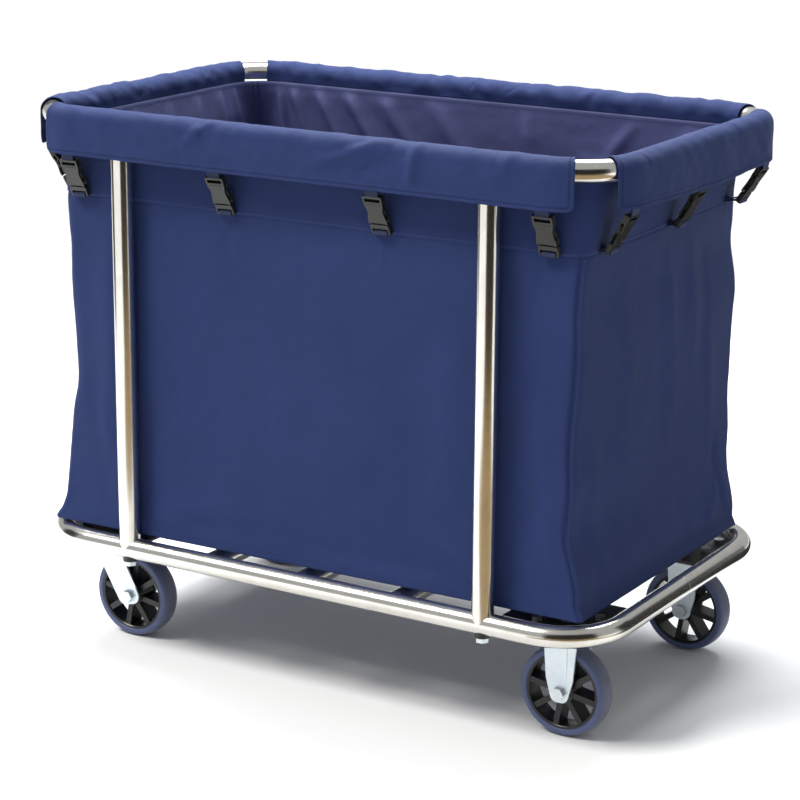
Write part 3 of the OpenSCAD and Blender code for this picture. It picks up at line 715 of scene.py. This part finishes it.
# the same for the lining; the deepest run down from the back left corner
LINING_CREASES = {
    "front": [
        (-0.30, 0.74, -0.20, 0.58, 0.016, 3.0), (0.0, 0.75, 0.10, 0.50, 0.022, 3.4),
        (0.25, 0.74, 0.20, 0.45, 0.018, 3.0), (-0.10, 0.60, -0.20, 0.30, 0.028, 3.5),
        (0.33, 0.60, 0.28, 0.25, 0.020, 3.4),
    ],
    "back": [
        (0.375, 0.745, 0.355, 0.60, 0.007, 3.6), (0.350, 0.750, 0.300, 0.62, 0.010, 4.0),
        (0.305, 0.750, 0.215, 0.60, 0.012, 4.6), (0.255, 0.755, 0.150, 0.61, 0.014, 4.4),
        (0.190, 0.750, 0.070, 0.60, 0.016, 3.6), (0.100, 0.745, -0.030, 0.60, 0.020, 3.0),
        (-0.060, 0.74, -0.110, 0.60, 0.018, 2.6), (-0.160, 0.69, -0.260, 0.67, 0.010, 1.8),
        (-0.235, 0.745, -0.170, 0.60, 0.016, 2.8), (-0.330, 0.74, -0.250, 0.58, 0.018, 3.0),
        (-0.375, 0.74, -0.345, 0.56, 0.010, 3.2), (0.22, 0.60, 0.16, 0.28, 0.030, 3.5),
        (-0.10, 0.60, -0.16, 0.26, 0.032, 3.6), (0.33, 0.56, 0.35, 0.25, 0.022, 3.2),
    ],
    "left": [
        (-0.205, 0.745, -0.185, 0.58, 0.006, 3.0), (-0.165, 0.750, -0.125, 0.60, 0.011, 3.2),
        (-0.105, 0.750, -0.050, 0.62, 0.013, 3.0), (-0.030, 0.745, 0.020, 0.62, 0.015, 2.6),
        (0.060, 0.745, 0.085, 0.62, 0.014, 2.4), (0.14, 0.745, 0.13, 0.55, 0.015, 2.6),
        (0.0, 0.55, 0.03, 0.25, 0.03, 3.2),
    ],
    "right": [
        (-0.15, 0.745, -0.11, 0.55, 0.013, 3.0), (0.0, 0.745, 0.03, 0.55, 0.016, 3.0),
        (0.14, 0.745, 0.10, 0.50, 0.015, 3.0), (0.05, 0.50, 0.0, 0.25, 0.028, 3.0),
    ],
}


def corner_move(sx, sy, z):
    """How far a corner of the bag moves in x and y at height z."""
    table = CORNER_MOVES[(sx, sy)]
    return knots(z, [(h, m[0]) for h, m in table]), knots(z, [(h, m[1]) for h, m in table])


BELLY_BY_Z = [(0.182, 0.0), (0.30, 0.005), (0.45, 0.008), (0.60, 0.004), (0.66, 0.001), (0.70, 0.0)]


def wall_point(side, q, z, out):
    """Place on the bag's wall: q from -1 to 1 between a side's corner seams, out along the normal."""
    q, z = np.broadcast_arrays(np.asarray(q, float), np.asarray(z, float))
    turn = SIDES[side][0]
    hx, hy, r = knots(z, LENGTH_BY_Z), knots(z, WIDTH_BY_Z), knots(z, RADIUS_BY_Z)
    h, depth = (hx, hy) if side in LONG_SIDES else (hy, hx)
    a = q * (h - r + r * math.pi / 4)
    arc = np.sign(a) * np.maximum(0.0, np.abs(a) - (h - r)) / r
    # hanging cloth bellies out between its corners
    off = out + (1 - q * q) * knots(z, BELLY_BY_Z)
    x = np.clip(a, r - h, h - r) + (r + off) * np.sin(arc)
    y = -(depth - r) - (r + off) * np.cos(arc)
    p = turned(x, y, z, turn)
    fx = np.clip((1 + p[..., 0] / hx) / 2, 0, 1)
    fy = np.clip((1 + p[..., 1] / hy) / 2, 0, 1)
    for sx, sy in CORNER_MOVES:
        weight = ((fx if sx > 0 else 1 - fx) * (fy if sy > 0 else 1 - fy)) ** 1.5
        mx, my = corner_move(sx, sy, z)
        p[..., 0] += mx * weight
        p[..., 1] += my * weight
    return p


SEED = {"front": 1, "right": 2, "back": 3, "left": 4}


def size_of(side):
    """Half length of the bag's wall on a side."""
    return BAG_X if side in LONG_SIDES else BAG_Y


def creased(table, u, z, sharp=1.0):
    """Height of all creases of a side; sharp makes them narrower."""
    return MM * sum(fold(u, z, (*c[:4], c[4] / sharp, c[5])) for c in table)


def outer_out(side, q, z):
    """How far the outside cloth stands off its plain shape."""
    q, z = np.broadcast_arrays(np.asarray(q, float), np.asarray(z, float))
    u, seed = q * size_of(side), SEED[side]
    near = smooth(1 - np.abs(q), 0.0, 0.05)
    lower = 1 - smooth(z, SEAM_Z - 0.02, SEAM_Z + 0.03)
    sit = smooth(z, BOTTOM_Z, BOTTOM_Z + 0.03)
    waves = 3.2 * wander(u, z * 0.55, seed, 0.16) + 1.7 * wander(u, z * 0.6, seed + 9, 0.05)
    out = near * sit * lower * MM * waves
    out += near * (1 - lower) * 1.0 * MM * wander(u, z, seed + 17, 0.07)
    out += 0.40 * MM * wander(u, z, seed + 31, 0.018)
    out += sit * near * creased(OUTER_CREASES[side], u, z)
    out += 0.8 * MM * smooth(z, SEAM_Z - 0.6 * MM, SEAM_Z + 0.6 * MM)
    out -= 0.9 * MM * bell(z - SEAM_Z, 1.6 * MM)
    d = (1 - np.abs(q)) * size_of(side)
    out += (0.7 * MM * bell(d - 5 * MM, 3.5 * MM) - 1.1 * MM * bell(d, 1.7 * MM)) * (z < SEAM_Z)
    # puckers where the lower cloth is gathered into the seam
    out += 0.9 * MM * wander(u, z * 0.25, seed + 41, 0.011) * bell(z - SEAM_Z, 14 * MM)
    # lower hem
    out += 0.6 * MM * bell(z - BOTTOM_Z - 2 * MM, 3 * MM)
    return out


def lining_out(side, q, z):
    """The same for the lining, which hangs inside the outer cloth."""
    q, z = np.broadcast_arrays(np.asarray(q, float), np.asarray(z, float))
    u, seed = q * size_of(side), SEED[side] + 60
    ends = smooth(TOP_Z - z, 0.0, 0.02) * smooth(1 - np.abs(q), 0.0, 0.04)
    ins = 1.6 * MM * (0.6 + 0.6 * wander(u, z, seed, 0.06)) + 0.7 * MM * (0.5 + wander(u, z, seed + 7, 0.022))
    ins += 0.5 * MM * np.abs(wander(u, z, seed + 12, 0.010)) + 2.3 * creased(LINING_CREASES[side], u, z, 1.3)
    d = (1 - np.abs(q)) * size_of(side)
    seam = 2.2 * MM * bell(d, 2.2 * MM) + 0.8 * MM * bell(d - 9 * MM, 4 * MM)
    return np.minimum(outer_out(side, q, z), 0.5 * MM) - 2.6 * MM - ends * np.maximum(0.0, ins) - seam


COLUMNS = {
    side: np.array(spread(-size_of(side), size_of(side), 4.2 * MM, 0.7 * MM, 8.4 * MM)[:-1]) / size_of(side)
    for side in ORDER
}


def levels(lo, hi, step, fine_at):
    """Heights from lo to hi, closer together round the seam and the lower edge."""
    out, z = [], lo
    while z < hi - 1e-6:
        out.append(z)
        close = min(abs(z - f) for f in fine_at)
        z += step if close > 9 * MM else max(0.7 * MM, step * 0.2)
    out.append(hi)
    return out


def floor_sag(x, drop):
    """The floor lies on the cross tubes and hangs a little between them."""
    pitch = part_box("cross_tube_right")[0].x + TUBE_R
    return -drop * np.where(np.abs(x) < pitch * 1.6, np.sin(math.pi * (x / pitch % 1.0)) ** 2, 0.5)


def shell(name, out_of, material, bottom, step, inset, sag, rough):
    """Walls and floor of the bag in one skin, open at the top."""
    rows = np.array(levels(bottom, TOP_Z, step, (SEAM_Z, bottom)))[:, None]
    walls, flats = [], []
    for side in ORDER:
        q = COLUMNS[side][None, :]
        walls.append(wall_point(side, q, rows, out_of(side, q, rows)))
        across = q[0] * size_of(side) + 3.0 * ORDER.index(side)
        flats.append(pairs(*np.meshgrid(across, rows[:, 0])).reshape(len(rows), -1, 2))
    wall, flat = np.concatenate(walls, 1), np.concatenate(flats, 1)
    count, rings = wall.shape[1], 26
    f = ((np.arange(1, rings + 1) / (rings + 1)) ** 0.8)[:, None]
    x, y = wall[0, :, 0] * f, wall[0, :, 1] * f
    z = bottom - inset + smooth(1 - f, 0.0, 0.12) * (floor_sag(x, sag) + rough * wander(x, y, 90, 0.06))
    floor = np.stack([x, y, z + inset * 0.6 * smooth(f, 0.93, 1.0)], -1)
    verts = np.concatenate([floor, wall]).reshape(-1, 3)
    cloth = np.concatenate([floor[..., :2], flat]).reshape(-1, 2)
    verts = np.vstack([verts, [0, 0, z[0, 0]]])
    cloth = np.vstack([cloth, [0, 0]])
    faces = grid_faces(rings + len(rows), count, closed=True)
    faces += [(len(verts) - 1, (i + 1) % count, i) for i in range(count)]
    return add_mesh(name, verts, faces, material, slot="navy_fabric", cloth=cloth)


bag_cloth = shell("bag_cloth", outer_out, NAVY, BOTTOM_Z, 5.2 * MM, 2.0 * MM, 1.2 * MM, 0.0)
solidify(bag_cloth, 1.0 * MM)
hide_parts("bag_body")
lining = shell("bag_lining", lining_out, LINING, BOTTOM_Z + 4.5 * MM, 4.2 * MM, 1.6 * MM, 1.2 * MM, 0.8 * MM)
solidify(lining, 0.7 * MM, 1.0)


def wall_run(side, q, z, out_of, lift):
    """Points and outward normals along a path on the bag's wall."""
    q, z = np.broadcast_arrays(np.asarray(q, float), np.asarray(z, float))

    def place(q, z):
        return wall_point(side, q, z, out_of(side, q, z) + lift)

    return run_of(place, q, z, 0.004, 0.002, 1.0 if lift > 0 else -1.0)


LEVEL = np.linspace(-1, 1, 301)
runs = []
for side in ORDER:
    runs.append(wall_run(side, LEVEL, SEAM_Z + 3.2 * MM, outer_out, 0.35 * MM))
    if side not in LONG_SIDES:
        for sign in (-1, 1):
            up = np.linspace(BOTTOM_Z + 6 * MM, SEAM_Z - 2 * MM, 161)
            runs.append(wall_run(side, sign * (1 - 4.5 * MM / BAG_Y), up, outer_out, 0.35 * MM))
bag_threads = stitches("bag_stitching", runs)
runs = [wall_run(side, LEVEL, TOP_Z - 5 * MM, lining_out, -0.35 * MM) for side in ORDER]
lining_threads = stitches("lining_stitching", runs)

# ---- buckles and webbing
def outline_plate(name, outline, holes, depth, bevel):
    """Flat plate in X and Z with holes and rounded edges, as (vertices, faces)."""
    curve = bpy.data.curves.new(name, "CURVE")
    curve.dimensions, curve.fill_mode = "2D", "BOTH"
    curve.extrude, curve.bevel_depth, curve.bevel_resolution = depth / 2 - bevel, bevel, 2
    curve.offset = -bevel
    for ring in [outline, *holes]:
        spline = curve.splines.new("POLY")
        spline.points.add(len(ring) - 1)
        spline.use_cyclic_u = True
        for point, (x, z) in zip(spline.points, ring):
            point.co = (x, z, 0, 1)
    obj = bpy.data.objects.new(name, curve)
    bpy.context.scene.collection.objects.link(obj)
    bpy.context.view_layer.update()
    mesh = bpy.data.meshes.new_from_object(obj.evaluated_get(bpy.context.evaluated_depsgraph_get()))
    verts = [Vector((v.co.x, -v.co.z, v.co.y)) for v in mesh.vertices]
    faces = [tuple(p.vertices) for p in mesh.polygons]
    bpy.data.objects.remove(obj)
    bpy.data.curves.remove(curve)
    bpy.data.meshes.remove(mesh)
    return verts, faces


def rounded(points, radius, steps=5):
    """Closed outline with its corners rounded; a point may give its own radius third."""
    out = []
    n = len(points)
    for i, p in enumerate(points):
        r = p[2] if len(p) > 2 else radius
        here = Vector(p[:2])
        a, b = Vector(points[i - 1][:2]) - here, Vector(points[(i + 1) % n][:2]) - here
        r = min(r, a.length * 0.45, b.length * 0.45)
        start, end = here + a.normalized() * r, here + b.normalized() * r
        for k in range(steps + 1):
            t = k / steps
            out.append(tuple(start * (1 - t) ** 2 + here * 2 * t * (1 - t) + end * t * t))
    return out


def scaled(points):
    return [(x * MM, z * MM, *(r * MM for r in rest)) for x, z, *rest in points]


def mirrored(points):
    return points + [(-p[0], *p[1:]) for p in reversed(points)]


def slab(x0, z0, x1, z1, corner):
    """Rounded rectangle, its sizes in millimetres."""
    return rounded(scaled([(x0, z0), (x0, z1), (x1, z1), (x1, z0)]), corner * MM)


def merge(parts):
    """One (vertices, faces) from several."""
    verts, faces = [], []
    for v, f in parts:
        base = len(verts)
        verts += v
        faces += [tuple(i + base for i in face) for face in f]
    return verts, faces


def shifted(part, dy):
    return [Vector((v.x, v.y + dy * MM, v.z)) for v in part[0]], part[1]


# socket: two faces over a hollow middle, open at the sides, with a bar for the webbing on top
SOCKET_FACE = rounded(scaled(mirrored([
    (8.0, -11.5, 1.5), (13.8, -13.0), (14.6, -7.0), (12.2, 0.5, 3), (11.8, 9.0, 3), (14.2, 15.5),
    (14.6, 29.2)])), 1.2 * MM)
SOCKET_SLOT = slab(-11.2, 21.0, 11.2, 26.0, 1.0)
SOCKET_CORE = rounded(scaled(mirrored([(7.0, 13.8), (10.4, 14.2), (13.0, 19.0)])), 1.0 * MM)
SOCKET_RIB = slab(-9.5, 15.8, 9.5, 18.2, 0.8)
# plug: a cross bar with its webbing slot, a guide and two bent prongs that show in the socket's sides
PLUG_BASE = rounded(scaled(mirrored([(14.4, -29.0), (14.4, -15.6), (12.8, -13.6)])), 1.3 * MM)
PLUG_SLOT = slab(-11.2, -25.8, 11.2, -20.8, 1.0)
PLUG_GUIDE = rounded(scaled(mirrored([(1.8, -15.0), (1.8, 11.0), (1.0, 13.0)])), 0.6 * MM)


def prong(side):
    """One bent prong of the plug, in X and Z."""
    pts = [(7.6, -15.0), (8.6, -6.0), (12.4, 0.6, 2), (14.2, 2.6, 2), (14.0, 7.4, 2), (10.8, 12.6),
           (8.0, 12.2), (9.6, 7.0), (9.4, 3.0, 2), (4.8, -6.0, 2), (4.4, -15.0)]
    ring = rounded(scaled(pts), 0.8 * MM)
    return [(x * side, z) for x, z in (ring if side > 0 else reversed(ring))]


socket_part = merge([
    shifted(outline_plate("face", SOCKET_FACE, [SOCKET_SLOT], 2.6 * MM, 0.5 * MM), -3.0),
    shifted(outline_plate("face", SOCKET_FACE, [SOCKET_SLOT], 2.6 * MM, 0.5 * MM), 3.0),
    outline_plate("core", SOCKET_CORE, [], 5.0 * MM, 0.3 * MM),
    shifted(outline_plate("rib", SOCKET_RIB, [], 1.2 * MM, 0.4 * MM), -4.3),
    outline_plate("bar", slab(-14.4, 26.2, 14.4, 29.2, 1.0), [], 4.4 * MM, 0.8 * MM),
    outline_plate("arm", slab(11.4, 17.0, 14.4, 28.4, 0.6), [], 5.0 * MM, 0.6 * MM),
    outline_plate("arm", slab(-14.4, 17.0, -11.4, 28.4, 0.6), [], 5.0 * MM, 0.6 * MM),
])
plug_part = merge([
    outline_plate("base", PLUG_BASE, [PLUG_SLOT], 7.0 * MM, 1.0 * MM),
    outline_plate("guide", PLUG_GUIDE, [], 3.0 * MM, 0.4 * MM),
    outline_plate("prong", prong(1), [], 3.2 * MM, 0.5 * MM),
    outline_plate("prong", prong(-1), [], 3.2 * MM, 0.5 * MM),
])

TILT = {"front": 24, "back": 24, "left": 32, "right": 32}
# where the buckles sit along a side, from its middle
LONG_REACH, SHORT_REACH = 0.368, 0.2
LONG_SPOTS = [-LONG_REACH, -LONG_REACH / 3, LONG_REACH / 3, LONG_REACH]
SHORT_SPOTS = [-SHORT_REACH, 0.0, SHORT_REACH]
BUCKLE_PLACES = [(side, s) for side in ORDER for s in (LONG_SPOTS if side in LONG_SIDES else SHORT_SPOTS)]
buckle_rng = random.Random(7)


def buckle_matrix(side, s):
    """Frame of a buckle: x along the side, y inwards, z up the slope from bag to flap."""
    turn, off, _ = SIDES[side]
    depth = BAG_Y if side in LONG_SIDES else BAG_X
    mid = (off + TUBE_R + 0.5 * MM + depth) / 2
    spin = Matrix.Rotation(math.radians(turn), 4, "Z")
    tilt = Matrix.Rotation(math.radians(TILT[side] + buckle_rng.uniform(-2, 2)), 4, "X")
    sway = Matrix.Rotation(math.radians(buckle_rng.uniform(-3.5, 3.5)), 4, "Y")
    return spin @ Matrix.Translation((s, -mid, BUCKLE_Z)) @ tilt @ sway


MATRICES = [buckle_matrix(side, s) for side, s in BUCKLE_PLACES]


def placed(part):
    """Copies of a buckle part at all the buckles, as one mesh."""
    return merge([([m @ v for v in part[0]], part[1]) for m in MATRICES])


def edge_smooth(obj, degrees=40):
    """Shades flat across edges sharper than the angle."""
    bm = bmesh.new()
    bm.from_mesh(obj.data)
    bmesh.ops.recalc_face_normals(bm, faces=bm.faces)
    for e in bm.edges:
        e.smooth = len(e.link_faces) == 2 and e.calc_face_angle(0) < math.radians(degrees)
    bm.to_mesh(obj.data)
    bm.free()


sockets = add_mesh("buckle_socket_mouldings", *placed(socket_part), BUCKLE, slot="buckle_plastic")
plugs = add_mesh("buckle_plug_mouldings", *placed(plug_part), BUCKLE, slot="buckle_plastic")
for obj in (sockets, plugs):
    edge_smooth(obj)
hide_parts("buckle_sockets")
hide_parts("buckle_plugs")


def strap(path, width, thick, rows=2.0 * MM):
    """Flat webbing along a path in Y and Z, rounded at its edges, as (vertices, faces, cloth)."""
    verts, faces, cloth = [], [], []
    top = [(-0.5, 0.0), (-0.49, 0.42), (-0.44, 0.5), (-0.2, 0.5), (0.2, 0.5), (0.44, 0.5), (0.49, 0.42)]
    section = top + [(-u, -v) for u, v in top]
    n = len(section)
    run = 0.0
    for i, (y, z) in enumerate(path):
        a, b = path[max(0, i - 1)], path[min(len(path) - 1, i + 1)]
        t = Vector((b[0] - a[0], b[1] - a[1])).normalized()
        if i:
            run += math.dist(path[i - 1], path[i])
        for u, v in section:
            verts.append(Vector((u * width, y + t.y * v * thick, z - t.x * v * thick)))
            cloth.append((u * width, run + v * thick))
    faces = grid_faces(len(path), n, closed=True)
    last = (len(path) - 1) * n
    faces += [tuple(range(n - 1, -1, -1)), tuple(last + k for k in range(n))]
    return verts, faces, cloth


def eased(points, steps=6):
    """Smooth curve through the points."""
    out = []
    p = [points[0], *points, points[-1]]
    for four in zip(p, p[1:], p[2:], p[3:]):
        for k in range(steps):
            t = k / steps
            out.append(tuple(
                0.5 * (2 * b + (c - a) * t + (2 * a - 5 * b + 4 * c - d) * t * t
                       + (3 * b - a - 3 * c + d) * t ** 3)
                for a, b, c, d in zip(*four)))
    out.append(tuple(points[-1]))
    return out


# the webbing round each bar: in from the bar and up from its middle, in millimetres
SOCKET_WRAP = [(-1.8, 5.0), (-3.0, 1.8), (-3.2, -0.4), (-1.5, -2.9),
               (1.5, -2.9), (3.2, -0.4), (2.8, 2.2), (1.2, 5.5)]
PLUG_WRAP = [(4.6, 1.6), (2.0, 3.6), (-2.0, 3.6), (-4.4, 1.0), (-4.0, -1.4), (-1.0, -2.6), (3.0, -2.2)]


def round_bar(z, wrap):
    return [(y * MM, (z + up) * MM) for y, up in wrap]


def webbing_mesh():
    """Loops of webbing: flap to socket bar and back, and bag seam to plug bar and back."""
    verts, faces, cloth = [], [], []
    width, thick = 20 * MM, 1.3 * MM
    for (side, s), m in zip(BUCKLE_PLACES, MATRICES):
        # the flap's inner face and the bag's wall in the buckle's own y and z
        back = m.inverted()
        f1, f2, f3, f4 = (
            (back @ Vector(flap_place(side, np.array([s]), np.array([FLAP_W - d]), -lift)[0])).yz
            for d, lift in scaled(((22, 1.6), (12, 1.6), (12, 3.2), (22, 3.2))))
        wall = back @ Vector(wall_point(side, s / size_of(side), SEAM_Z + 1 * MM, -1.5 * MM))
        upper = [f1, f2, *round_bar(27.7, SOCKET_WRAP), f3, f4]
        lower = [(wall.y, wall.z + 2 * MM), *round_bar(-27.4, PLUG_WRAP), (wall.y, wall.z - 0.5 * MM)]
        for path in (upper, lower):
            v, f, c = strap(eased(path), width, thick)
            base = len(verts)
            verts += [m @ p for p in v]
            faces += [tuple(i + base for i in face) for face in f]
            cloth += c
    return verts, faces, cloth


verts, faces, cloth = webbing_mesh()
webbing = add_mesh("webbing_loops", verts, faces, WEBBING, slot="webbing", cloth=np.array(cloth))
edge_smooth(webbing, 60)
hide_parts("webbing_straps")


# ---- joint lines of the frame tubes
def ring_of(centre, axis, radius, thick, name):
    """Thin bead round a tube where two tubes meet."""
    verts, n, k = [], 48, 8
    side = Vector(axis).orthogonal().normalized()
    up = Vector(axis).cross(side)
    for i in range(n):
        a = 2 * math.pi * i / n
        out = side * math.cos(a) + up * math.sin(a)
        for j in range(k):
            b = 2 * math.pi * j / k
            reach = radius + thick * 0.5 * math.cos(b)
            verts.append(Vector(centre) + out * reach + Vector(axis) * (thick * math.sin(b)))
    faces = [(i * k + j, i * k + (j + 1) % k, (i + 1) % n * k + (j + 1) % k, (i + 1) % n * k + j)
             for i in range(n) for j in range(k)]
    add_mesh(name, verts, faces, POLISHED, slot="polished_steel")


for z, level in ((BASE_Z, "base"), (RIM_Z, "rim")):
    for x, end in ((-HALF_X, "left"), (HALF_X, "right")):
        ring_of((x, 0, z), (0, 1, 0), TUBE_R, 0.5 * MM, "joint_line_" + level + "_" + end)
